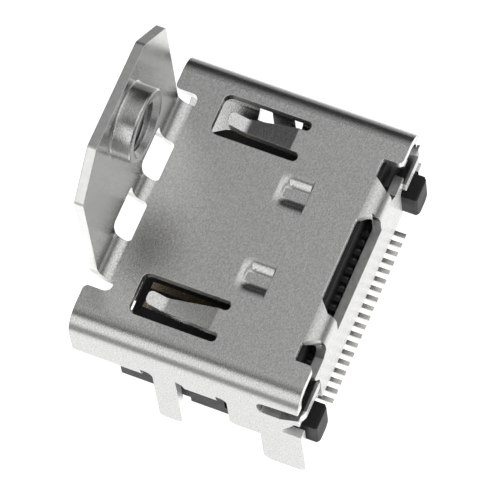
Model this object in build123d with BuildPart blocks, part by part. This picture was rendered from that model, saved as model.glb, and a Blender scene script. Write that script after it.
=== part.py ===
from build123d import *
import os

# Board socket for a flat digital video plug, in millimetres.
# Z = 0 is the top of the circuit board, Y = 0 is the face of the mouth, and the
# plug leaves along -Y. X = 0 is the middle of the opening. The solder tails
# leave at the rear, along +Y.

# Sheet metal shell
sheet = 0.45
opening_width = 14.05
opening_height = 4.55
opening_floor_z = 1.10
shell_depth = 11.40
top_corner_radius = 1.10
floor_corner_x = 5.25
taper_radius = 1.00
floor_depth = 7.20

# Screw flange that stands up from the mouth
flange_half_width = 4.76
flange_top_z = 15.80
flange_top_half_width = 2.77
flange_shoulder_z = 13.75
flange_corner_radius = 0.30
flange_bend_radius = 0.70
relief_width = 0.60
relief_depth = 1.25
relief_end_radius = 0.34
roof_corner_radius = 0.25
lightening_inner_x = 0.57
lightening_outer_x = 2.70
lightening_rear_y = 1.20
lightening_top_z = 7.50
lightening_corner_radius = 0.30

# Tapped collar drawn out of the flange
screw_z = 13.40
screw_minor_radius = 1.25
screw_major_radius = 1.50
collar_radius = 1.82
collar_length = 1.05
collar_root_radius = 0.10
collar_edge_radius = 0.12

# Grounding springs in the roof
roof_window_inner_x = 3.78
roof_window_outer_x = 5.95
roof_window_front_y = 2.36
roof_window_rear_y = 6.72
roof_window_corner_radius = 0.40
roof_slot_width = 0.50
roof_slot_end_radius = 0.23
roof_spring_root_y = 6.25
roof_spring_bump_y = 3.80
roof_spring_bump_depth = 0.40
roof_spring_tip_y = 2.92
roof_spring_tip_depth = 0.02
roof_spring_tip_width = 0.70
roof_spring_tip_radius = 0.24
spring_bend_radius = 0.60
spring_corner_radius = 0.25

# Grounding springs in the floor
floor_window_inner_x = 1.90
floor_window_outer_x = 3.95
floor_window_front_y = 1.08
floor_window_rear_y = 5.20
floor_spring_inner_x = 2.30
floor_spring_outer_x = 3.60
floor_spring_root_y = 4.80
floor_spring_bump_y = 2.10
floor_spring_bump_height = 0.70
floor_spring_tip_y = 1.50
floor_spring_tip_height = 0.45

# Dimples that hold the housing
dimple_x = 2.27
dimple_width = 0.62
dimple_length = 1.10
dimple_depth = 0.20
dimple_slope = 0.42
dimple_bend_radius = 0.90

# Dovetail seam in the floor
seam_gap = 0.06
dovetail_front_y = 2.70
dovetail_rear_y = 4.10
dovetail_reach = 0.80
dovetail_flare = 0.25

# Windows and necks at the rear of the roof
rear_window_setback = 0.96
middle_window_x = 2.10
neck_inner_x = 2.70
neck_outer_x = 4.00
side_window_inner_x = 4.50
side_window_outer_x = 5.42
rear_window_corner_radius = 0.20
neck_bend_radius = 0.45
neck_shoulder_setback = 0.41

# Rear cover folded down from the necks
cover_bottom_z = 1.58
cover_top_z = 4.40
cover_half_width = 4.98
cover_wing_x = 5.42
cover_wing_z = 4.66
cover_wing_root_z = 3.60
cover_wing_height = 0.25
cover_shoulder_x = 4.40
cover_shoulder_z = 5.00

# Side walls, wrap tabs and board legs
wall_bottom_z = 3.50
slit_length = 2.10
slit_bottom_z = 3.60
slit_top_z = 4.62
slit_rear_z = 4.80
slit_rise_setback = 1.00
slit_rear_bottom_z = 4.16
slit_end_radius = 0.42
tab_end_x = 5.32
tab_proud = 0.15
tab_bend_radius = 0.25
tab_apex_setback = 0.93
tab_apex_z = 2.40
tab_bottom_setback = 0.18
tab_bottom_z = 3.56
rear_plate_setback = 0.55
rear_plate_shoulder_z = 0.90
rear_plate_rear_top_z = 2.10
rear_plate_corner_radius = 0.30
rear_leg_width = 2.12
rear_leg_bottom_z = -2.00
rear_leg_corner_radius = 0.45
front_leg_front_y = 4.03
front_leg_width = 1.15
front_leg_bottom_z = -1.38
front_leg_corner_radius = 0.30
leg_root_radius = 0.40
leg_window_front_y = 3.42
leg_window_rear_y = 5.60
leg_window_inner_x = 4.30
leg_window_corner_radius = 0.40

# Moulded housing
seat_clearance = 0.03
base_half_width = 6.80
base_front_y = 1.95
base_step_y = 5.45
base_step_z = 0.45
block_front_setback = 0.80
block_rear_setback = 0.80
tongue_half_width = 5.50
tongue_front_y = 1.95
tongue_front_half_width = 4.88
tongue_shoulder_y = 3.80
tongue_thickness = 1.10
tongue_nose_height = 0.50
tongue_nose_length = 0.55
comb_half_width = 4.85
comb_bottom_z = 0.45
comb_top_z = 4.34
ear_inner_x = 5.52
ear_outer_x = 6.85
ear_proud = 0.50
ear_bottom_z = 0.20
ear_top_z = 2.20
ear_corner_radius = 0.48
ear_edge_chamfer = 0.10

# Contacts
contact_count = 19
contact_pitch = 0.50
beam_width = 0.34
contact_width = 0.24
contact_sheet = 0.18
contact_bend_radius = 0.15
contact_side_clearance = 0.02
contact_proud = 0.03
contact_tip_y = 2.40
contact_tail_proud = 0.29

# Worked-out places
shell_half_width = opening_width / 2 + sheet
shell_inner_x = opening_width / 2
floor_z = opening_floor_z - sheet
roof_inner_z = opening_floor_z + opening_height
roof_z = roof_inner_z + sheet
knee_z = floor_z + shell_half_width - floor_corner_x
middle_z = opening_floor_z + opening_height / 2
tongue_top_z = middle_z + tongue_thickness / 2
tongue_bottom_z = middle_z - tongue_thickness / 2
reach = shell_half_width + shell_depth
rear_window_y = shell_depth - rear_window_setback
neck_shoulder_y = shell_depth - neck_shoulder_setback
slit_front_y = shell_depth - slit_length
slit_rise_y = shell_depth - slit_rise_setback
tab_rear_y = shell_depth + tab_proud
tab_apex_y = shell_depth - tab_apex_setback
tab_bottom_y = shell_depth - tab_bottom_setback
rear_leg_front_y = shell_depth - rear_leg_width
rear_plate_front_y = floor_depth + rear_plate_setback
front_leg_rear_y = front_leg_front_y + front_leg_width
block_rear_y = shell_depth - block_rear_setback
ear_rear_y = shell_depth + ear_proud
contact_tail_y = shell_depth + contact_tail_proud
block_front_y = floor_depth + block_front_setback
dimple_rear_y = block_front_y - seat_clearance
dimple_front_y = dimple_rear_y - dimple_length - dimple_slope
dimple_reach = dimple_width / 2 + dimple_slope + sheet / 2
comb_rear_y = shell_depth - sheet - seat_clearance
roof_spring_inner_x = roof_window_inner_x + roof_slot_width
roof_spring_outer_x = roof_window_outer_x - roof_slot_width
roof_spring_x = (roof_spring_inner_x + roof_spring_outer_x) / 2
upper_beam_bottom_z = tongue_top_z + contact_proud - contact_sheet
lower_beam_bottom_z = tongue_bottom_z - contact_proud
contact_leg_y = block_rear_y + contact_sheet
contact_leg_top_z = tongue_top_z + contact_proud
contact_places = [
    (number - (contact_count - 1) / 2) * contact_pitch for number in range(contact_count)]
upper_places = contact_places[0::2]
lower_places = contact_places[1::2]


def bent_strip(path, radius, thickness, side):
    """Return the side view of a strip of sheet, one face of which follows path."""
    with BuildSketch() as strip:
        with BuildLine():
            face_line = FilletPolyline(*path, radius=radius)
            offset(face_line, amount=thickness, side=side)
        make_face()
    return strip.sketch_local


def circles(piece, radius):
    """Return the round edges of the open piece that have the radius."""
    return piece.edges().filter_by(GeomType.CIRCLE).filter_by(
        lambda edge: round(edge.radius - radius, 4) == 0)


def round_corners(sketch, radius, *places):
    """Round the corners of the open sketch that stand nearest to the places."""
    corners = [sketch.vertices().sort_by_distance(place)[0] for place in places]
    fillet(corners, radius)


def dimple_form(top_z):
    """Return the pressed form of a dimple: three slopes and a floor, upright at the rear."""
    with BuildPart() as form:
        for z, margin in ((top_z, dimple_slope), (top_z - dimple_depth, 0)):
            with BuildSketch(Plane.XY.offset(z)):
                with Locations((dimple_x, dimple_rear_y)):
                    Rectangle(
                        dimple_width + 2 * margin, dimple_length + margin, align=(Align.CENTER, Align.MAX))
        loft()
    return form.part


# Outline of the mouth
with BuildSketch() as mouth:
    Polygon(
        (-floor_corner_x, floor_z),
        (floor_corner_x, floor_z),
        (shell_half_width, knee_z),
        (shell_half_width, roof_z),
        (-shell_half_width, roof_z),
        (-shell_half_width, knee_z),
        align=None,
    )
    fillet(mouth.vertices().group_by(Axis.Y)[-1], top_corner_radius)
    round_corners(mouth, taper_radius, (floor_corner_x, floor_z), (-floor_corner_x, floor_z))
    round_corners(mouth, taper_radius, (shell_half_width, knee_z), (-shell_half_width, knee_z))

# Right half of the shell, up to the screw collar and the seam
with BuildPart() as half_shell:
    # Folded tube
    with BuildSketch(Plane.XZ):
        add(mouth.sketch_local)
        offset(amount=-sheet, mode=Mode.SUBTRACT)
    extrude(amount=-shell_depth)
    split(bisect_by=Plane.YZ, keep=Keep.TOP)

    # The taper and the floor stop short of the rear
    with BuildSketch(Plane.YZ):
        with Locations((floor_depth, wall_bottom_z)):
            Rectangle(shell_depth, roof_z, align=(Align.MIN, Align.MAX))
    extrude(amount=reach, mode=Mode.SUBTRACT)

    # Window that the front leg is lanced from
    with BuildSketch(Plane.YZ.offset(leg_window_inner_x)) as leg_window:
        Polygon(
            (leg_window_front_y, 0),
            (leg_window_rear_y, 0),
            (leg_window_rear_y, wall_bottom_z),
            (leg_window_front_y, wall_bottom_z),
            align=None,
        )
        round_corners(leg_window, leg_window_corner_radius, (leg_window_rear_y, wall_bottom_z))
    extrude(amount=reach, mode=Mode.SUBTRACT)

    # Front leg
    with BuildSketch(Plane.YZ.offset(shell_inner_x)) as front_leg:
        Polygon(
            (front_leg_front_y, front_leg_bottom_z),
            (front_leg_rear_y, front_leg_bottom_z),
            (front_leg_rear_y, wall_bottom_z + sheet),
            (leg_window_front_y, wall_bottom_z + sheet),
            (leg_window_front_y, wall_bottom_z),
            (front_leg_front_y, wall_bottom_z),
            align=None,
        )
        fillet(front_leg.vertices().group_by(Axis.Y)[0], front_leg_corner_radius)
        round_corners(front_leg, leg_root_radius, (front_leg_front_y, wall_bottom_z))
    extrude(amount=sheet)

    # Slit that frees the wrap tab from the rear corner of the roof
    with BuildSketch(Plane.YZ.offset(shell_inner_x - top_corner_radius)) as slit:
        Polygon(
            (slit_front_y, slit_bottom_z),
            (slit_rise_y, slit_bottom_z),
            (shell_depth, slit_rear_bottom_z),
            (reach, slit_rear_bottom_z),
            (reach, slit_rear_z),
            (shell_depth, slit_rear_z),
            (slit_front_y, slit_top_z),
            align=None,
        )
        fillet(slit.vertices().group_by(Axis.X)[0], slit_end_radius)
    extrude(amount=reach, mode=Mode.SUBTRACT)

    # Rear wall plate with its board leg
    with BuildSketch(Plane.YZ.offset(shell_inner_x)) as rear_plate:
        Polygon(
            (floor_depth, wall_bottom_z + sheet),
            (floor_depth, wall_bottom_z),
            (rear_plate_front_y, wall_bottom_z),
            (rear_plate_front_y, rear_plate_shoulder_z),
            (rear_leg_front_y, rear_plate_shoulder_z),
            (rear_leg_front_y, rear_leg_bottom_z),
            (shell_depth, rear_leg_bottom_z),
            (shell_depth, rear_plate_rear_top_z),
            (tab_apex_y, rear_plate_rear_top_z),
            (tab_apex_y, slit_bottom_z),
            (slit_front_y, slit_bottom_z),
            (slit_front_y, wall_bottom_z + sheet),
            align=None,
        )
        fillet(rear_plate.vertices().group_by(Axis.Y)[0], rear_leg_corner_radius)
        round_corners(rear_plate, rear_plate_corner_radius, (rear_plate_front_y, rear_plate_shoulder_z))
        round_corners(rear_plate, leg_root_radius, (rear_plate_front_y, wall_bottom_z))
    extrude(amount=sheet)

    # Front edge of the roof, cleared for the flange bend and its reliefs
    bend_y = sheet + flange_bend_radius
    with BuildSketch(Plane.XY.offset(roof_inner_z - sheet)) as front_edge:
        Polygon(
            (0, -sheet),
            (flange_half_width + relief_width, -sheet),
            (flange_half_width + relief_width, relief_depth),
            (flange_half_width, relief_depth),
            (flange_half_width, bend_y),
            (0, bend_y),
            align=None,
        )
        round_corners(
            front_edge, relief_end_radius, (flange_half_width + relief_width, relief_depth))
    extrude(amount=reach, mode=Mode.SUBTRACT)

    # Window around the grounding spring
    with BuildSketch(Plane.XY.offset(middle_z)) as roof_window:
        Polygon(
            (roof_window_inner_x, roof_window_front_y),
            (roof_window_outer_x, roof_window_front_y),
            (roof_window_outer_x, roof_window_rear_y),
            (roof_spring_outer_x, roof_window_rear_y),
            (roof_spring_outer_x, roof_spring_root_y),
            (roof_spring_inner_x, roof_spring_root_y),
            (roof_spring_inner_x, roof_window_rear_y),
            (roof_window_inner_x, roof_window_rear_y),
            align=None,
        )
        fillet(roof_window.vertices().group_by(Axis.Y)[0], roof_window_corner_radius)
        fillet(roof_window.vertices().group_by(Axis.Y)[-1], roof_slot_end_radius)
    extrude(amount=reach, mode=Mode.SUBTRACT)

    # Dimple, pressed from outside and sheared along its rear
    add(dimple_form(roof_inner_z))
    add(dimple_form(roof_z), mode=Mode.SUBTRACT)
    dimple_edges = half_shell.edges().filter_by_position(
        Axis.X, dimple_x - dimple_reach, dimple_x + dimple_reach).filter_by_position(
        Axis.Y, dimple_front_y - sheet, dimple_rear_y - dimple_slope).filter_by_position(
        Axis.Z, roof_z - (dimple_depth + sheet) / 2, reach)
    fillet(dimple_edges, dimple_bend_radius)

    # Rear edge of the roof, cleared for the neck bend
    with BuildSketch(Plane.XY.offset(slit_rear_z)):
        with Locations((0, shell_depth - sheet - neck_bend_radius)):
            Rectangle(cover_wing_x, shell_depth, align=(Align.MIN, Align.MIN))
    extrude(amount=reach, mode=Mode.SUBTRACT)

    # Neck, bent down from the roof into the cover
    with BuildSketch(Plane.YZ.offset(middle_window_x)):
        add(bent_strip(
            [(rear_window_y, roof_z), (shell_depth, roof_z), (shell_depth, cover_top_z)],
            sheet + neck_bend_radius,
            sheet,
            Side.RIGHT,
        ))
    extrude(amount=side_window_inner_x - middle_window_x)

    # Windows each side of the neck
    with BuildSketch(Plane.XY.offset(cover_top_z)) as rear_windows:
        Polygon(
            (0, rear_window_y),
            (middle_window_x, rear_window_y),
            (neck_inner_x, neck_shoulder_y),
            (neck_inner_x, reach),
            (0, reach),
            align=None,
        )
        Polygon(
            (side_window_inner_x, rear_window_y),
            (side_window_outer_x, rear_window_y),
            (cover_wing_x, neck_shoulder_y),
            (cover_wing_x, reach),
            (neck_outer_x, reach),
            (neck_outer_x, shell_depth - sheet / 2),
            align=None,
        )
        for window_x in (middle_window_x, side_window_inner_x, side_window_outer_x):
            round_corners(rear_windows, rear_window_corner_radius, (window_x, rear_window_y))
    extrude(amount=reach, mode=Mode.SUBTRACT)

    # Corners of the roof beside the notch of the flange and beside the side window
    for corner in ((flange_half_width + relief_width, 0), (cover_wing_x, shell_depth)):
        fillet(
            half_shell.edges().filter_by(Axis.Z).sort_by_distance((*corner, roof_z))[0],
            roof_corner_radius)

    # Rear cover
    with BuildSketch(Plane.XZ.offset(-shell_depth)) as cover:
        Polygon(
            (0, cover_bottom_z),
            (cover_half_width, cover_bottom_z),
            (cover_half_width, cover_wing_root_z),
            (cover_wing_x, cover_wing_z - cover_wing_height),
            (cover_wing_x, cover_wing_z),
            (cover_shoulder_x, cover_wing_z),
            (neck_outer_x, cover_shoulder_z),
            (neck_inner_x, cover_shoulder_z),
            (neck_inner_x, cover_top_z),
            (0, cover_top_z),
            align=None,
        )
    extrude(amount=sheet)

    # Window and grounding spring of the floor
    with BuildSketch(Plane.XY) as floor_window:
        Polygon(
            (floor_window_inner_x, floor_window_front_y),
            (floor_window_outer_x, floor_window_front_y),
            (floor_window_outer_x, floor_window_rear_y),
            (floor_spring_outer_x, floor_window_rear_y),
            (floor_spring_outer_x, floor_spring_root_y),
            (floor_spring_inner_x, floor_spring_root_y),
            (floor_spring_inner_x, floor_window_rear_y),
            (floor_window_inner_x, floor_window_rear_y),
            align=None,
        )
        fillet(floor_window.vertices().group_by(Axis.Y)[0], spring_corner_radius)
    extrude(amount=middle_z, mode=Mode.SUBTRACT)
    with BuildSketch(Plane.YZ.offset(floor_spring_inner_x)):
        add(bent_strip(
            [
                (floor_window_rear_y, floor_z),
                (floor_spring_root_y, floor_z),
                (floor_spring_bump_y, floor_z + floor_spring_bump_height),
                (floor_spring_tip_y, floor_z + floor_spring_tip_height),
            ],
            spring_bend_radius,
            sheet,
            Side.RIGHT,
        ))
    extrude(amount=floor_spring_outer_x - floor_spring_inner_x)

# Grounding spring of the roof, tapered towards its tip
with BuildPart() as roof_spring:
    with BuildSketch(Plane.YZ.offset(roof_spring_inner_x)):
        add(bent_strip(
            [
                (roof_window_rear_y, roof_z),
                (roof_spring_root_y, roof_z),
                (roof_spring_bump_y, roof_z - roof_spring_bump_depth),
                (roof_spring_tip_y, roof_z - roof_spring_tip_depth),
            ],
            spring_bend_radius,
            sheet,
            Side.LEFT,
        ))
    extrude(amount=roof_spring_outer_x - roof_spring_inner_x)
    with BuildSketch(Plane.XY.offset(middle_z)) as roof_spring_outline:
        Polygon(
            (roof_spring_inner_x, roof_window_rear_y),
            (roof_spring_inner_x, roof_spring_root_y),
            (roof_spring_x - roof_spring_tip_width / 2, roof_spring_bump_y),
            (roof_spring_x - roof_spring_tip_width / 2, roof_spring_tip_y),
            (roof_spring_x + roof_spring_tip_width / 2, roof_spring_tip_y),
            (roof_spring_x + roof_spring_tip_width / 2, roof_spring_bump_y),
            (roof_spring_outer_x, roof_spring_root_y),
            (roof_spring_outer_x, roof_window_rear_y),
            align=None,
        )
        fillet(roof_spring_outline.vertices().group_by(Axis.Y)[0], roof_spring_tip_radius)
    extrude(amount=reach, mode=Mode.INTERSECT)

# Wrap tab, bent from the side wall round the rear corner
with BuildPart() as tab:
    with BuildSketch(Plane.XY):
        add(bent_strip(
            [(shell_half_width, slit_rise_y), (shell_half_width, tab_rear_y), (tab_end_x, tab_rear_y)],
            sheet + tab_bend_radius,
            sheet,
            Side.LEFT,
        ))
    extrude(amount=slit_rear_z)
    with BuildSketch(Plane.YZ):
        Polygon(
            (tab_apex_y - sheet, slit_bottom_z),
            (tab_apex_y, tab_apex_z),
            (tab_bottom_y, tab_bottom_z),
            (reach, tab_bottom_z),
            (reach, slit_rear_bottom_z),
            (shell_depth, slit_rear_bottom_z),
            (slit_rise_y, slit_bottom_z),
            align=None,
        )
    extrude(amount=reach, mode=Mode.INTERSECT)

# Screw flange, bent up from the front edge of the roof
with BuildPart() as flange:
    with BuildSketch(Plane.YZ):
        add(bent_strip(
            [(bend_y + sheet, roof_inner_z), (0, roof_inner_z), (0, flange_top_z)],
            sheet + flange_bend_radius,
            sheet,
            Side.RIGHT,
        ))
    extrude(amount=flange_half_width, both=True)
    with BuildSketch(Plane.XZ) as flange_outline:
        Polygon(
            (-flange_half_width, 0),
            (flange_half_width, 0),
            (flange_half_width, flange_shoulder_z),
            (flange_top_half_width, flange_top_z),
            (-flange_top_half_width, flange_top_z),
            (-flange_half_width, flange_shoulder_z),
            align=None,
        )
        fillet(flange_outline.vertices().group_by(Axis.Y)[1:], flange_corner_radius)
    extrude(amount=-reach, mode=Mode.INTERSECT)

    # Two slots that ease the bend
    slot_middle_x = (lightening_inner_x + lightening_outer_x) / 2
    slot_width = lightening_outer_x - lightening_inner_x
    bend_top_z = roof_z + flange_bend_radius
    with BuildSketch(Plane.XZ) as slot_face:
        with Locations((-slot_middle_x, lightening_top_z), (slot_middle_x, lightening_top_z)):
            Rectangle(slot_width, lightening_top_z - roof_z, align=(Align.CENTER, Align.MAX))
        fillet(slot_face.vertices().group_by(Axis.Y)[-1], lightening_corner_radius)
    extrude(amount=-bend_y + sheet / 2, mode=Mode.SUBTRACT)
    with BuildSketch(Plane.XY.offset(roof_inner_z)) as slot_plan:
        with Locations((-slot_middle_x, lightening_rear_y), (slot_middle_x, lightening_rear_y)):
            Rectangle(slot_width, 2 * lightening_rear_y, align=(Align.CENTER, Align.MAX))
        fillet(slot_plan.vertices().group_by(Axis.Y)[-1], lightening_corner_radius)
    extrude(amount=bend_top_z - roof_inner_z, mode=Mode.SUBTRACT)

    # Collar and its hole
    with BuildSketch(Plane.XZ.offset(-sheet)):
        with Locations((0, screw_z)):
            Circle(collar_radius)
    extrude(amount=-collar_length)
    fillet(circles(flange, collar_radius).sort_by(Axis.Y)[-1], collar_edge_radius)
    fillet(circles(flange, collar_radius).sort_by(Axis.Y)[0], collar_root_radius)
    with Locations(Plane(origin=(0, 0, screw_z), z_dir=(0, -1, 0))):
        Hole(radius=screw_minor_radius)
    chamfer(circles(flange, screw_minor_radius), screw_major_radius - screw_minor_radius)

# Shell: both halves with the flange and the tabs
with BuildPart() as shell:
    add(half_shell.part)
    add(roof_spring.part)
    add(tab.part)
    mirror(about=Plane.YZ)
    add(flange.part)
    with BuildSketch(Plane.XY):
        with BuildLine():
            seam = Polyline(
                (0, -sheet),
                (0, dovetail_front_y + dovetail_flare),
                (dovetail_reach, dovetail_front_y),
                (dovetail_reach, dovetail_rear_y),
                (0, dovetail_rear_y - dovetail_flare),
                (0, floor_depth + sheet),
            )
        trace(seam, line_width=seam_gap)
    extrude(amount=opening_floor_z + sheet, mode=Mode.SUBTRACT)

# Tongue of the housing
with BuildPart() as tongue:
    with BuildSketch(Plane.YZ):
        Polygon(
            (tongue_front_y, middle_z - tongue_nose_height / 2),
            (tongue_front_y + tongue_nose_length, tongue_bottom_z),
            (block_front_y + sheet, tongue_bottom_z),
            (block_front_y + sheet, tongue_top_z),
            (tongue_front_y + tongue_nose_length, tongue_top_z),
            (tongue_front_y, middle_z + tongue_nose_height / 2),
            align=None,
        )
    extrude(amount=tongue_half_width, both=True)
    with BuildSketch(Plane.XY.offset(tongue_bottom_z)):
        Polygon(
            (-tongue_front_half_width, tongue_front_y),
            (tongue_front_half_width, tongue_front_y),
            (tongue_half_width, tongue_shoulder_y),
            (tongue_half_width, block_front_y + sheet),
            (-tongue_half_width, block_front_y + sheet),
            (-tongue_half_width, tongue_shoulder_y),
            align=None,
        )
    extrude(amount=tongue_thickness, mode=Mode.INTERSECT)

# Housing
with BuildPart() as housing:
    # Base with side rails that carry the floor and the tapers
    with BuildSketch(Plane.XZ.offset(-base_front_y)):
        with Locations((0, 0)):
            Rectangle(2 * base_half_width, wall_bottom_z, align=(Align.CENTER, Align.MIN))
    extrude(amount=base_front_y - block_rear_y)
    with BuildSketch(Plane.XZ):
        add(mouth.sketch_local)
    extrude(amount=-floor_depth - seat_clearance, mode=Mode.SUBTRACT)
    with BuildSketch(Plane.YZ):
        with Locations((0, 0)):
            Rectangle(base_step_y, base_step_z, align=(Align.MIN, Align.MIN))
    extrude(amount=reach, both=True, mode=Mode.SUBTRACT)
    with BuildSketch(Plane.YZ):
        with Locations((floor_depth, floor_z)):
            Rectangle(block_front_y - floor_depth, roof_z, align=(Align.MIN, Align.MIN))
    extrude(amount=reach, both=True, mode=Mode.SUBTRACT)

    # Block that fills the rear of the shell
    with BuildSketch(Plane.XZ.offset(-block_front_y)) as block:
        with Locations((0, wall_bottom_z)):
            Rectangle(
                2 * (shell_inner_x - seat_clearance),
                roof_inner_z - seat_clearance - wall_bottom_z,
                align=(Align.CENTER, Align.MIN),
            )
        fillet(block.vertices().group_by(Axis.Y)[-1], top_corner_radius - sheet)
    extrude(amount=block_front_y - block_rear_y)

    # Tongue
    add(tongue.part)

    # Ears at the rear corners of the base
    with BuildSketch(Plane.XZ.offset(-block_rear_y + sheet)) as ears:
        for side in (-1, 1):
            with Locations((side * (ear_inner_x + ear_outer_x) / 2, ear_bottom_z)):
                Rectangle(
                    ear_outer_x - ear_inner_x, ear_top_z - ear_bottom_z, align=(Align.CENTER, Align.MIN))
        fillet(ears.vertices().group_by(Axis.Y)[0], ear_corner_radius)
    extrude(amount=block_rear_y - sheet - ear_rear_y)
    chamfer(housing.faces().sort_by(Axis.Y)[-2:].edges(), ear_edge_chamfer)

    # Channels for the contacts, open along both faces of the tongue
    channel_width = beam_width + 2 * contact_side_clearance
    with BuildSketch(Plane.XZ) as upper_channels:
        for place in upper_places:
            with Locations((place, upper_beam_bottom_z)):
                Rectangle(channel_width, contact_sheet, align=(Align.CENTER, Align.MIN))
    extrude(amount=-reach, mode=Mode.SUBTRACT)
    with BuildSketch(Plane.XZ) as lower_channels:
        for place in lower_places:
            with Locations((place, lower_beam_bottom_z)):
                Rectangle(channel_width, contact_sheet, align=(Align.CENTER, Align.MIN))
    extrude(amount=-reach, mode=Mode.SUBTRACT)

    # Comb behind the block, one slot for each contact
    with BuildSketch(Plane.XZ.offset(-block_rear_y)):
        with Locations((0, comb_bottom_z)):
            Rectangle(2 * comb_half_width, comb_top_z - comb_bottom_z, align=(Align.CENTER, Align.MIN))
        for place in contact_places:
            with Locations((place, comb_bottom_z)):
                Rectangle(
                    contact_width + 2 * contact_side_clearance,
                    comb_top_z,
                    align=(Align.CENTER, Align.MIN),
                    mode=Mode.SUBTRACT,
                )
    extrude(amount=block_rear_y - comb_rear_y)

# Contacts, odd ones above the tongue and even ones below it
os.makedirs("parts", exist_ok=True)
for number, place in enumerate(contact_places, start=1):
    is_upper = place in upper_places
    beam_z = upper_beam_bottom_z if is_upper else lower_beam_bottom_z
    with BuildPart() as contact:
        # Tail on the board and leg up the rear of the housing
        with BuildSketch(Plane.YZ.offset(place)):
            add(bent_strip(
                [
                    (contact_tail_y, 0),
                    (contact_leg_y - contact_sheet, 0),
                    (contact_leg_y - contact_sheet, contact_leg_top_z),
                ],
                contact_bend_radius + contact_sheet,
                contact_sheet,
                Side.RIGHT,
            ))
        extrude(amount=contact_width / 2, both=True)
        # Beam along the tongue
        with BuildSketch(Plane.YZ.offset(place)):
            with Locations((contact_tip_y, beam_z)):
                Rectangle(block_rear_y - contact_tip_y, contact_sheet, align=(Align.MIN, Align.MIN))
        extrude(amount=beam_width / 2, both=True)
    contact.part.label = f"contact_{number:02d}"
    export_step(contact.part, f"parts/contact_{number:02d}.step")

shell.part.label = "shell"
export_step(shell.part, "parts/shell.step")
housing.part.label = "housing"
export_step(housing.part, "parts/housing.step")
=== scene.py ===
import math
import bpy
from mathutils import Matrix, Vector


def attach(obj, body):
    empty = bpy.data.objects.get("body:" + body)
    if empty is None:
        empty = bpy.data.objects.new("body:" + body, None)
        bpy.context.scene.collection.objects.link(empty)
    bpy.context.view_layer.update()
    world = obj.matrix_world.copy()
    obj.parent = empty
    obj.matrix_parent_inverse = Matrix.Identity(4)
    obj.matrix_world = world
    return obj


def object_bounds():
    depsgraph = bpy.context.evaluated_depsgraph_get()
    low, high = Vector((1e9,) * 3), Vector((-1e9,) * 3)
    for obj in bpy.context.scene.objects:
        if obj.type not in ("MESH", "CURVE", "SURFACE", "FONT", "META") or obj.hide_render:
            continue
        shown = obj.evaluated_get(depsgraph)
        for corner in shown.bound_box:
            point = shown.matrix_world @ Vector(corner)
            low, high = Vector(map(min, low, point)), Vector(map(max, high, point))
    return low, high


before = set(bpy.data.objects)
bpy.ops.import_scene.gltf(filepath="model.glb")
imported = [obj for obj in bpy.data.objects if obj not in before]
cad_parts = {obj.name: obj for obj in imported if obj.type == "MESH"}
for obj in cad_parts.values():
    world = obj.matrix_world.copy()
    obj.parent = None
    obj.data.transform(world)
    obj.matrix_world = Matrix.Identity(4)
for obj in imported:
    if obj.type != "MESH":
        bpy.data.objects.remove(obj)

# Board socket for a flat digital video plug. Everything is in metres. The board's
# top is Z = 0, the mouth faces -Y and the solder tails leave at +Y.

MM = 0.001
cad_box = [list(corner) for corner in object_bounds()]

# Camera: the point it looks at, its distance and its axes, from the photograph
AIM_POINT = Vector((0.0, 5.85, 3.0)) * MM
CAMERA_DISTANCE = 254.42 * MM
CAMERA_RIGHT = Vector((-0.3830, 0.9214, -0.0651))
CAMERA_UP = Vector((-0.8526, -0.3255, 0.4089))
CAMERA_BACK = Vector((0.3556, 0.2121, 0.9102))
PICTURE_SIDE = 500
PIXELS_PER_MM_AT_AIM = 21.465
AIM_PIXEL = (251.04, 253.27)
SENSOR_WIDTH = 36.0

# Floor: pale paper with a painted pool of light, glowing in a soft round
FLOOR_SIDE = 0.70
FLOOR_GREY = (0.35, 0.35, 0.35, 1.0)
FLOOR_WHITE = (1.0, 1.0, 1.0, 1.0)
FLOOR_GLOW = 1.06
FLOOR_GLOW_FAR = 0.24
POOL_MIDDLE = Vector((-1.95, 4.70, 0.0)) * MM
POOL_RADIUS = 16.0 * MM
POOL_EDGE = 10.0 * MM

# Sky: two soft panels, one high at the rear and one low at the right
SKY_DARK = 0.05
REAR_PANEL = Vector((-0.15, 0.50, 0.853))
REAR_PANEL_LIGHT = 1.38
REAR_PANEL_EDGE = (0.40, 1.12)
RIGHT_PANEL = Vector((0.90, -0.10, 0.43))
RIGHT_PANEL_LIGHT = 1.40
RIGHT_PANEL_EDGE = (0.83, 0.975)

# Grains: the share of the noise that is used, and the finer and broader sizes per metre
NOISE_LOW = 0.3
NOISE_HIGH = 0.7
FINE_GRAIN = 9000.0
BROAD_GRAIN = 700.0

# Sheet: its rolled grain, the light of each kind of face, and the rim of its cut edges
ROLLED_GRAIN = 14000.0
ROLLED_DETAIL = 6.0
ROLLED_STRETCH = (0.8, 1.0, 1.0)
ROLLED_ROUGHNESS = 0.65
ROLLED_HEIGHT = 0.006 * MM
SHEARED_STRETCH = (0.4, 0.4, 0.4)
FACE_LIGHT = (0.46, 0.755)
CUT_LIGHT = (0.92, 1.0)
# Painted shade: the flange's cut faces that turn away from the lit side, and the rear's upward cut
# faces, get a darker colour
FLANGE_SHADE_LIGHT = (0.58, 0.68)
SHADED_LIGHT = (0.30, 0.40)
NICKEL_TINTS = (("Red", 1.0), ("Green", 1.0), ("Blue", 0.985))
FACE_ROUGHNESS = (0.18, 0.24)
CUT_ROUGHNESS = 0.38
RIM_RADIUS = 0.04 * MM
RIM_SAMPLES = 8

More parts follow.
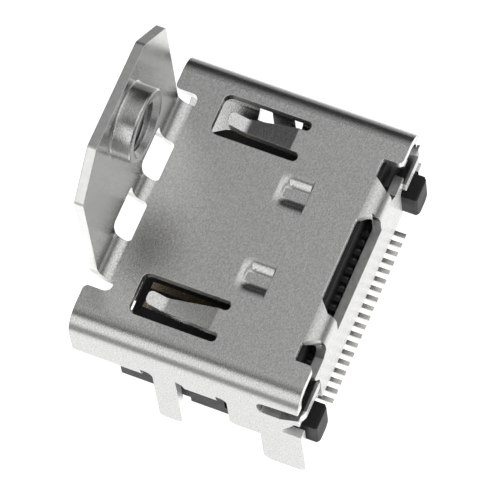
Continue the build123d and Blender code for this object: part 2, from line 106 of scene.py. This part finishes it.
# Sheet: where its cut edges lie, with X taken from the middle to either side
FACING = 0.75
LIT_SIDE_FACING = 0.3
FLANGE_FOOT_Z = 6.6 * MM
COLLAR_CLEAR_RADIUS = 2.0 * MM
ROOF_EDGE_Z = (5.6 * MM, 6.2 * MM)
ROOF_SIDE_X = 6.3 * MM
ROOF_END_Y = (1.25 * MM, 10.47 * MM)
REAR_CORNER_X = 5.43 * MM
REAR_CORNER_Y = 11.0 * MM
SPRING_X = (2.4 * MM, 5.2 * MM)
SPRING_Y = (1.8 * MM, 7.0 * MM)
SPRING_Z = (3.9 * MM, 6.2 * MM)
WALL_X = 6.9 * MM
WALL_TOP_Z = 5.3 * MM
COVER_Y = 10.9 * MM
COVER_TOP_Z = 5.6 * MM

# Dimples: their flat floors, and the sheet's soft pull around them
DIMPLE_X = 2.27 * MM
DIMPLE_Y = 7.36 * MM
DIMPLE_HALF_WIDTH = 0.26 * MM
DIMPLE_HALF_LENGTH = 0.62 * MM
DIMPLE_FRONT_RIM = 0.94 * MM
DIMPLE_SOFTNESS = 0.06 * MM
DIMPLE_LOW_Z = 5.80 * MM
DISH_REACH = 0.56 * MM
DISH_FADE = 0.16 * MM
DISH_DEPTH_LEFT = 0.13 * MM
DISH_DEPTH_RIGHT = 0.04 * MM

# Moulding: black, glass-filled and matt
MOULDING_SPECULAR = 0.32
MOULDING_ROUGHNESS = (0.42, 0.60)
MOULDING_DARK = (0.007, 0.007, 0.008, 1.0)
MOULDING_LIGHT = (0.018, 0.018, 0.020, 1.0)
MOULDING_HEIGHT = 0.003 * MM

# Contacts: gold inside the moulding, tin on the tails; the tin is painted lit and shaded by turns,
# and painted shade darkens the tails towards the moulding
CONTACT_COUNT = 19
# Painted light and shade: the odd contacts' tin is painted lit, the even ones' painted shaded
ODD_TIN_PAINTED_LIT = 0.98
EVEN_TIN_PAINTED_SHADE = 0.84
# Painted shade: the share of the tin's light kept at the tail's front, near the moulding
TIN_FRONT_PAINTED_SHADE_SHARE = 0.85
TIN_MOTTLE = (0.94, 1.0)
TIN_AND_GOLD = (("Red", 1.0, 0.42), ("Green", 0.99, 0.35), ("Blue", 0.96, 0.23))
CONTACT_GRAIN = 14000.0
CONTACT_STRETCH = (1.0, 0.4, 0.4)
CONTACT_ROUGHNESS = (0.22, 0.28)
CONTACT_HEIGHT = 0.0006 * MM
GOLD_REAR_Y = 10.4 * MM
TAIL_FRONT_Y = 11.3 * MM
TAIL_REAR_Y = 11.9 * MM

# Screw collar's thread: its place and radius, from the solids, and its ridge
SCREW_Z = 13.40 * MM
SCREW_RADIUS = 1.25 * MM
THREAD_FRONT_Y = 0.15 * MM
THREAD_LENGTH = 1.20 * MM
THREAD_PITCH = 0.50 * MM
THREAD_HEIGHT = 0.11 * MM
THREAD_STEPS = 72
THREAD_SIDES = 4
THREAD_LIGHT = (0.34, 0.50)
THREAD_ROUGHNESS = (0.25, 0.40)
THREAD_GRAIN_HEIGHT = 0.002 * MM


def add_camera():
    """The photograph's camera, as a long lens seen from above the solder tails' side."""
    data = bpy.data.cameras.new("camera")
    data.sensor_width = SENSOR_WIDTH
    focal_pixels = PIXELS_PER_MM_AT_AIM * CAMERA_DISTANCE / MM
    data.lens = SENSOR_WIDTH * focal_pixels / PICTURE_SIDE
    middle = PICTURE_SIDE / 2
    data.shift_x = (middle - AIM_PIXEL[0]) / PICTURE_SIDE
    data.shift_y = (AIM_PIXEL[1] - middle) / PICTURE_SIDE
    camera = bpy.data.objects.new("camera", data)
    bpy.context.scene.collection.objects.link(camera)
    axes = Matrix((CAMERA_RIGHT, CAMERA_UP, CAMERA_BACK)).transposed().to_4x4()
    camera.matrix_world = Matrix.Translation(AIM_POINT + CAMERA_BACK * CAMERA_DISTANCE) @ axes
    bpy.context.scene.camera = camera


def shader_of(name):
    """A new material, with its nodes, its links and its surface shader."""
    material = bpy.data.materials.new(name)
    material.use_nodes = True
    tree = material.node_tree
    return material, tree.nodes, tree.links, tree.nodes["Principled BSDF"]


def own_place(nodes):
    """The place on the piece's own coordinates."""
    return nodes.new("ShaderNodeTexCoord").outputs["Object"]


def parts_of(nodes, links, vector):
    """The vector's X, Y and Z."""
    node = nodes.new("ShaderNodeSeparateXYZ")
    links.new(vector, node.inputs[0])
    return node.outputs


def vector_math(nodes, links, operation, value, other):
    """The operation on a vector and a fixed vector."""
    node = nodes.new("ShaderNodeVectorMath")
    node.operation = operation
    links.new(value, node.inputs[0])
    node.inputs[1].default_value = other
    return node


def length_of(nodes, links, vector):
    """The vector's length."""
    node = nodes.new("ShaderNodeVectorMath")
    node.operation = "LENGTH"
    links.new(vector, node.inputs[0])
    return node.outputs["Value"]


def maths(nodes, links, operation, value, other=0.0):
    """The operation on a value and a number, or on two values."""
    node = nodes.new("ShaderNodeMath")
    node.operation = operation
    links.new(value, node.inputs[0])
    if isinstance(other, (int, float)):
        node.inputs[1].default_value = other
    else:
        links.new(other, node.inputs[1])
    return node.outputs[0]


def blend(nodes, links, mask, off, on):
    """A value that runs from off to on with the mask; either may be a number."""
    node = nodes.new("ShaderNodeMix")
    node.data_type = "FLOAT"
    links.new(mask, node.inputs[0])
    for socket, value in ((node.inputs[2], off), (node.inputs[3], on)):
        if isinstance(value, (int, float)):
            socket.default_value = value
        else:
            links.new(value, socket)
    return node.outputs[0]


def spread(nodes, links, value, low, high, start, end):
    """The value's range from low to high, eased to run from start to end."""
    node = nodes.new("ShaderNodeMapRange")
    node.interpolation_type = "SMOOTHSTEP"
    node.inputs["From Min"].default_value = low
    node.inputs["From Max"].default_value = high
    node.inputs["To Min"].default_value = start
    node.inputs["To Max"].default_value = end
    links.new(value, node.inputs["Value"])
    return node.outputs["Result"]


def remap(nodes, links, value, low, high):
    """The noise's middle range, run evenly from low to high."""
    node = nodes.new("ShaderNodeMapRange")
    node.inputs["From Min"].default_value = NOISE_LOW
    node.inputs["From Max"].default_value = NOISE_HIGH
    node.inputs["To Min"].default_value = low
    node.inputs["To Max"].default_value = high
    links.new(value, node.inputs["Value"])
    return node.outputs["Result"]


def grain(nodes, links, scale, detail=4.0, stretch=(1.0, 1.0, 1.0), roughness=0.5):
    """A noise on the piece's own coordinates, with its size set per metre."""
    place = nodes.new("ShaderNodeMapping")
    place.inputs["Scale"].default_value = stretch
    noise = nodes.new("ShaderNodeTexNoise")
    noise.inputs["Scale"].default_value = scale
    noise.inputs["Detail"].default_value = detail
    noise.inputs["Roughness"].default_value = roughness
    links.new(own_place(nodes), place.inputs["Vector"])
    links.new(place.outputs["Vector"], noise.inputs["Vector"])
    return noise.outputs["Fac"]


def bumped(nodes, links, shader, height, distance):
    """Feed a height to the shader's normal."""
    bump = nodes.new("ShaderNodeBump")
    bump.inputs["Strength"].default_value = 1.0
    bump.inputs["Distance"].default_value = distance
    links.new(height, bump.inputs["Height"])
    links.new(bump.outputs["Normal"], shader.inputs["Normal"])
    return bump


def add_sky():
    """A dim tent with two soft panels."""
    world = bpy.data.worlds.new("studio")
    bpy.context.scene.world = world
    world.use_nodes = True
    nodes, links = world.node_tree.nodes, world.node_tree.links
    nodes.clear()
    where = nodes.new("ShaderNodeTexCoord").outputs["Generated"]
    panels = [
        spread(
            nodes, links,
            vector_math(nodes, links, "DOT_PRODUCT", where, towards).outputs["Value"],
            *edge, 0.0, light)
        for towards, edge, light in (
            (REAR_PANEL, REAR_PANEL_EDGE, REAR_PANEL_LIGHT),
            (RIGHT_PANEL, RIGHT_PANEL_EDGE, RIGHT_PANEL_LIGHT))]
    both_panels = maths(nodes, links, "ADD", *panels)
    glow = nodes.new("ShaderNodeBackground")
    links.new(maths(nodes, links, "ADD", both_panels, SKY_DARK), glow.inputs["Strength"])
    out = nodes.new("ShaderNodeOutputWorld")
    links.new(glow.outputs[0], out.inputs["Surface"])


def add_floor():
    """Pale paper under the legs, with a painted pool of light: it glows in a soft round."""
    low = cad_box[0][2]
    half = FLOOR_SIDE / 2
    mesh = bpy.data.meshes.new("floor")
    corners = [(-half, -half, low), (half, -half, low), (half, half, low), (-half, half, low)]
    mesh.from_pydata(corners, [], [(0, 1, 2, 3)])
    floor = bpy.data.objects.new("floor", mesh)
    bpy.context.scene.collection.objects.link(floor)
    paper, nodes, links, shader = shader_of("paper_painted_glow")
    shader.inputs["Base Color"].default_value = FLOOR_GREY
    shader.inputs["Roughness"].default_value = 1.0
    shader.inputs["Specular IOR Level"].default_value = 0.0
    shader.inputs["Emission Color"].default_value = FLOOR_WHITE
    offset = vector_math(nodes, links, "SUBTRACT", own_place(nodes), POOL_MIDDLE).outputs["Vector"]
    flat = vector_math(nodes, links, "MULTIPLY", offset, (1.0, 1.0, 0.0)).outputs["Vector"]
    reach = length_of(nodes, links, flat)
    # Painted pool of light: the paper glows white near the part and dims further out
    glow = spread(
        nodes, links, reach, POOL_RADIUS, POOL_RADIUS + POOL_EDGE, FLOOR_GLOW, FLOOR_GLOW_FAR)
    links.new(glow, shader.inputs["Emission Strength"])
    mesh.materials.append(paper)


def cut_faces(nodes, links):
    """Masks of the sheet's cut edges: all of them, the flange's ones that take painted shade, and
    the rear's top ones that take painted shade.
    """
    geometry = nodes.new("ShaderNodeNewGeometry")
    normal = parts_of(nodes, links, geometry.outputs["True Normal"])
    where = own_place(nodes)
    place = parts_of(nodes, links, where)
    x = maths(nodes, links, "ABSOLUTE", place["X"])
    y = place["Y"]
    z = place["Z"]

    def over(value, limit):
        return maths(nodes, links, "GREATER_THAN", value, limit)

    def under(value, limit):
        return maths(nodes, links, "LESS_THAN", value, limit)

    def both(first, second):
        return maths(nodes, links, "MULTIPLY", first, second)

    def either(first, second):
        return maths(nodes, links, "MAXIMUM", first, second)

    def other_than(mask):
        return under(mask, 0.5)

    def between(value, limits):
        low, high = limits
        return both(over(value, low), under(value, high))

    facing_x, facing_y, facing_z = (
        over(maths(nodes, links, "ABSOLUTE", normal[axis]), FACING) for axis in ("X", "Y", "Z"))

    from_screw = vector_math(nodes, links, "SUBTRACT", where, (0.0, 0.0, SCREW_Z)).outputs["Vector"]
    across = vector_math(nodes, links, "MULTIPLY", from_screw, (1.0, 0.0, 1.0)).outputs["Vector"]
    off_collar = over(length_of(nodes, links, across), COLLAR_CLEAR_RADIUS)
    flange = both(both(over(z, FLANGE_FOOT_Z), off_collar), other_than(facing_y))
    # Painted shade: the flange's cut faces that turn away from the lit side
    flange_shade = both(flange, other_than(over(normal["X"], LIT_SIDE_FACING)))

    roof_sides = both(facing_x, under(x, ROOF_SIDE_X))
    rear_corners = both(over(x, REAR_CORNER_X), over(y, REAR_CORNER_Y))
    roof_ends = both(facing_y, either(between(y, ROOF_END_Y), rear_corners))
    roof_edges = both(between(z, ROOF_EDGE_Z), either(roof_sides, roof_ends))
    springs = both(
        both(facing_x, between(x, SPRING_X)),
        both(between(z, SPRING_Z), between(y, SPRING_Y)))
    roof = either(roof_edges, springs)

    walls = both(both(over(x, WALL_X), under(z, WALL_TOP_Z)), either(facing_y, facing_z))
    between_walls = under(x, WALL_X)
    behind = over(y, COVER_Y)
    rear = both(both(behind, under(z, WALL_TOP_Z)), both(between_walls, either(facing_x, facing_z)))
    facing_up = over(normal["Z"], FACING)
    shaded = both(facing_up, both(both(behind, under(z, COVER_TOP_Z)), between_walls))
    return either(either(flange, roof), either(walls, rear)), flange_shade, shaded


def dimple_masks(nodes, links):
    """The dimples' flat floors, and the depth of the sheet's soft pull around them."""

    def both(first, second):
        return maths(nodes, links, "MULTIPLY", first, second)

    def beyond(distance, half_size):
        return maths(nodes, links, "SUBTRACT", maths(nodes, links, "ABSOLUTE", distance), half_size)

    place = parts_of(nodes, links, own_place(nodes))
    side = maths(nodes, links, "SIGN", place["X"])
    middle_x = both(side, DIMPLE_X)
    from_middle_x = maths(nodes, links, "SUBTRACT", place["X"], middle_x)
    from_middle_y = maths(nodes, links, "SUBTRACT", place["Y"], DIMPLE_Y)
    beyond_x = beyond(from_middle_x, DIMPLE_HALF_WIDTH)
    beyond_y = beyond(from_middle_y, DIMPLE_HALF_LENGTH)
    high = maths(nodes, links, "GREATER_THAN", place["Z"], DIMPLE_LOW_Z)

    depth = spread(
        nodes, links, from_middle_x,
        -DIMPLE_HALF_WIDTH, DIMPLE_HALF_WIDTH, DISH_DEPTH_LEFT, DISH_DEPTH_RIGHT)
    fall = spread(nodes, links, beyond_x, 0.0, DISH_REACH, -1.0, 0.0)
    after_front = spread(
        nodes, links, from_middle_y,
        -DIMPLE_HALF_LENGTH - DISH_FADE, -DIMPLE_HALF_LENGTH + DISH_FADE, 0.0, 1.0)
    before_rear = spread(
        nodes, links, from_middle_y,
        DIMPLE_HALF_LENGTH - DIMPLE_SOFTNESS, DIMPLE_HALF_LENGTH, 1.0, 0.0)
    pull = both(both(fall, depth), both(both(after_front, before_rear), high))

    beyond_floor = maths(nodes, links, "MAXIMUM", beyond_x, beyond_y)
    near = maths(nodes, links, "LESS_THAN", beyond_floor, DIMPLE_FRONT_RIM)
    floor = spread(nodes, links, beyond_floor, -DIMPLE_SOFTNESS, DIMPLE_SOFTNESS, 1.0, 0.0)
    before_rim = spread(
        nodes, links, from_middle_y,
        -DIMPLE_FRONT_RIM - DIMPLE_SOFTNESS, -DIMPLE_FRONT_RIM + DIMPLE_SOFTNESS, 1.0, 0.0)
    flat = maths(nodes, links, "MAXIMUM", floor, both(before_rim, near))
    return both(flat, high), pull


def dimple_normals(nodes, links, normal):
    """The sheet's normals, drawn in softly around the dimples and flat on their floors."""
    floor, pull = dimple_masks(nodes, links)
    drawn = nodes.new("ShaderNodeBump")
    drawn.inputs["Strength"].default_value = 1.0
    drawn.inputs["Distance"].default_value = 1.0
    links.new(pull, drawn.inputs["Height"])
    links.new(normal, drawn.inputs["Normal"])
    flat = nodes.new("ShaderNodeMix")
    flat.data_type = "VECTOR"
    links.new(floor, flat.inputs[0])
    links.new(drawn.outputs["Normal"], flat.inputs[4])
    flat.inputs[5].default_value = (0.0, 0.0, 1.0)
    return flat.outputs[1]


def plated_steel():
    """Satin nickel plate over rolled steel, with brighter cut edges, and painted shade on the
    flange's cut faces that turn from the lit side and on the rear's upward ones.
    """
    material, nodes, links, shader = shader_of("satin_nickel")
    shader.inputs["Metallic"].default_value = 1.0
    rolled = grain(nodes, links, ROLLED_GRAIN, ROLLED_DETAIL, ROLLED_STRETCH, ROLLED_ROUGHNESS)
    broad = grain(nodes, links, BROAD_GRAIN)
    sheared = grain(nodes, links, FINE_GRAIN, stretch=SHEARED_STRETCH)
    cut, flange_shade, shaded = cut_faces(nodes, links)
    light = remap(nodes, links, rolled, *FACE_LIGHT)
    light = blend(nodes, links, cut, light, remap(nodes, links, sheared, *CUT_LIGHT))
    # Painted shade on the flange's cut faces and on the rear's upward ones
    light = blend(nodes, links, flange_shade, light, remap(nodes, links, sheared, *FLANGE_SHADE_LIGHT))
    light = blend(nodes, links, shaded, light, remap(nodes, links, sheared, *SHADED_LIGHT))
    tone = nodes.new("ShaderNodeCombineColor")
    for channel, tint in NICKEL_TINTS:
        links.new(maths(nodes, links, "MULTIPLY", light, tint), tone.inputs[channel])
    links.new(tone.outputs[0], shader.inputs["Base Color"])
    smooth = remap(nodes, links, broad, *FACE_ROUGHNESS)
    links.new(blend(nodes, links, cut, smooth, CUT_ROUGHNESS), shader.inputs["Roughness"])
    rim = nodes.new("ShaderNodeBevel")
    rim.samples = RIM_SAMPLES
    rim.inputs["Radius"].default_value = RIM_RADIUS
    bump = bumped(nodes, links, shader, rolled, ROLLED_HEIGHT)
    links.new(dimple_normals(nodes, links, rim.outputs["Normal"]), bump.inputs["Normal"])
    return material


def black_moulding():
    """Black glass-filled plastic with a fine matt skin."""
    material, nodes, links, shader = shader_of("black_moulding")
    shader.inputs["Specular IOR Level"].default_value = MOULDING_SPECULAR
    fine = grain(nodes, links, FINE_GRAIN)
    broad = grain(nodes, links, BROAD_GRAIN)
    links.new(remap(nodes, links, broad, *MOULDING_ROUGHNESS), shader.inputs["Roughness"])
    tone = nodes.new("ShaderNodeValToRGB")
    dark, pale = tone.color_ramp.elements
    dark.position = NOISE_LOW
    dark.color = MOULDING_DARK
    pale.position = NOISE_HIGH
    pale.color = MOULDING_LIGHT
    links.new(fine, tone.inputs[0])
    links.new(tone.outputs[0], shader.inputs["Base Color"])
    bumped(nodes, links, shader, fine, MOULDING_HEIGHT)
    return material


def plated_contact(name, light):
    """Gold inside and tin on the tail, with painted shade on the tail towards the moulding; light
    is the tin's reflectance, painted lit or shaded.
    """
    material, nodes, links, shader = shader_of(name)
    shader.inputs["Metallic"].default_value = 1.0
    fine = grain(nodes, links, CONTACT_GRAIN, stretch=CONTACT_STRETCH)
    links.new(remap(nodes, links, fine, *CONTACT_ROUGHNESS), shader.inputs["Roughness"])
    y = parts_of(nodes, links, own_place(nodes))["Y"]
    # Painted shade: the tail darkens towards the moulding
    along = spread(nodes, links, y, TAIL_FRONT_Y, TAIL_REAR_Y, TIN_FRONT_PAINTED_SHADE_SHARE * light, light)
    tin = maths(nodes, links, "MULTIPLY", along, remap(nodes, links, fine, *TIN_MOTTLE))
    gilded = maths(nodes, links, "LESS_THAN", y, GOLD_REAR_Y)
    tone = nodes.new("ShaderNodeCombineColor")
    for channel, tint, gold in TIN_AND_GOLD:
        tinned = maths(nodes, links, "MULTIPLY", tin, tint)
        links.new(blend(nodes, links, gilded, tinned, gold), tone.inputs[channel])
    links.new(tone.outputs[0], shader.inputs["Base Color"])
    bumped(nodes, links, shader, fine, CONTACT_HEIGHT)
    return material


def thread_steel():
    """Oiled steel in the tapped hole."""
    material, nodes, links, shader = shader_of("tapped_steel")
    shader.inputs["Metallic"].default_value = 1.0
    fine = grain(nodes, links, FINE_GRAIN)
    links.new(remap(nodes, links, fine, *THREAD_ROUGHNESS), shader.inputs["Roughness"])
    tone = nodes.new("ShaderNodeCombineColor")
    light = remap(nodes, links, fine, *THREAD_LIGHT)
    for channel in ("Red", "Green", "Blue"):
        links.new(light, tone.inputs[channel])
    links.new(tone.outputs[0], shader.inputs["Base Color"])
    bumped(nodes, links, shader, fine, THREAD_GRAIN_HEIGHT)
    return material


def add_thread(finish):
    """The collar's thread: a ridge wound along the hole."""
    tree = bpy.data.node_groups.new("wound_ridge", "GeometryNodeTree")
    sockets = tree.interface
    sockets.new_socket("Geometry", in_out="OUTPUT", socket_type="NodeSocketGeometry")
    named = {
        name: sockets.new_socket(name, in_out="INPUT", socket_type="NodeSocketFloat").identifier
        for name in ("Turns", "Radius", "Length", "Ridge")}
    nodes, links = tree.nodes, tree.links
    given = nodes.new("NodeGroupInput").outputs
    winding = nodes.new("GeometryNodeCurveSpiral")
    winding.inputs["Resolution"].default_value = THREAD_STEPS
    links.new(given["Turns"], winding.inputs["Rotations"])
    links.new(given["Radius"], winding.inputs["Start Radius"])
    links.new(given["Radius"], winding.inputs["End Radius"])
    links.new(given["Length"], winding.inputs["Height"])
    section = nodes.new("GeometryNodeCurvePrimitiveCircle")
    section.inputs["Resolution"].default_value = THREAD_SIDES
    links.new(given["Ridge"], section.inputs["Radius"])
    ridge = nodes.new("GeometryNodeCurveToMesh")
    ridge.inputs["Fill Caps"].default_value = True
    links.new(winding.outputs["Curve"], ridge.inputs["Curve"])
    links.new(section.outputs["Curve"], ridge.inputs["Profile Curve"])
    laid = nodes.new("GeometryNodeTransform")
    laid.inputs["Rotation"].default_value = (-math.pi / 2, 0.0, 0.0)
    laid.inputs["Translation"].default_value = (0.0, THREAD_FRONT_Y, SCREW_Z)
    links.new(ridge.outputs["Mesh"], laid.inputs["Geometry"])
    whole = nodes.new("GeometryNodeRealizeInstances")
    links.new(laid.outputs["Geometry"], whole.inputs["Geometry"])
    finished = nodes.new("GeometryNodeSetMaterial")
    finished.inputs["Material"].default_value = finish
    links.new(whole.outputs["Geometry"], finished.inputs["Geometry"])
    out = nodes.new("NodeGroupOutput")
    links.new(finished.outputs["Geometry"], out.inputs["Geometry"])

    thread = bpy.data.objects.new("screw_thread", bpy.data.meshes.new("screw_thread"))
    bpy.context.scene.collection.objects.link(thread)
    winder = thread.modifiers.new("wound_ridge", "NODES")
    winder.node_group = tree
    winder[named["Turns"]] = THREAD_LENGTH / THREAD_PITCH
    winder[named["Radius"]] = SCREW_RADIUS
    winder[named["Length"]] = THREAD_LENGTH
    winder[named["Ridge"]] = THREAD_HEIGHT
    depsgraph = bpy.context.evaluated_depsgraph_get()
    made = bpy.data.meshes.new_from_object(thread.evaluated_get(depsgraph))
    thread.modifiers.clear()
    thread.data = made
    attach(thread, "root")


def dress(node, material):
    """Give a node its finish."""
    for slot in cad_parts[node].material_slots:
        slot.material = material


bpy.context.scene.view_settings.view_transform = "Standard"
add_camera()
add_sky()
add_floor()
dress("shell", plated_steel())
dress("housing", black_moulding())
# Lit and shaded copies of one plating: painted light and shade by turns
odd_contacts = plated_contact("plating_painted_lit", ODD_TIN_PAINTED_LIT)
even_contacts = plated_contact("plating_painted_shade", EVEN_TIN_PAINTED_SHADE)
for number in range(1, CONTACT_COUNT + 1):
    dress(f"contact_{number:02d}", odd_contacts if number % 2 else even_contacts)
add_thread(thread_steel())
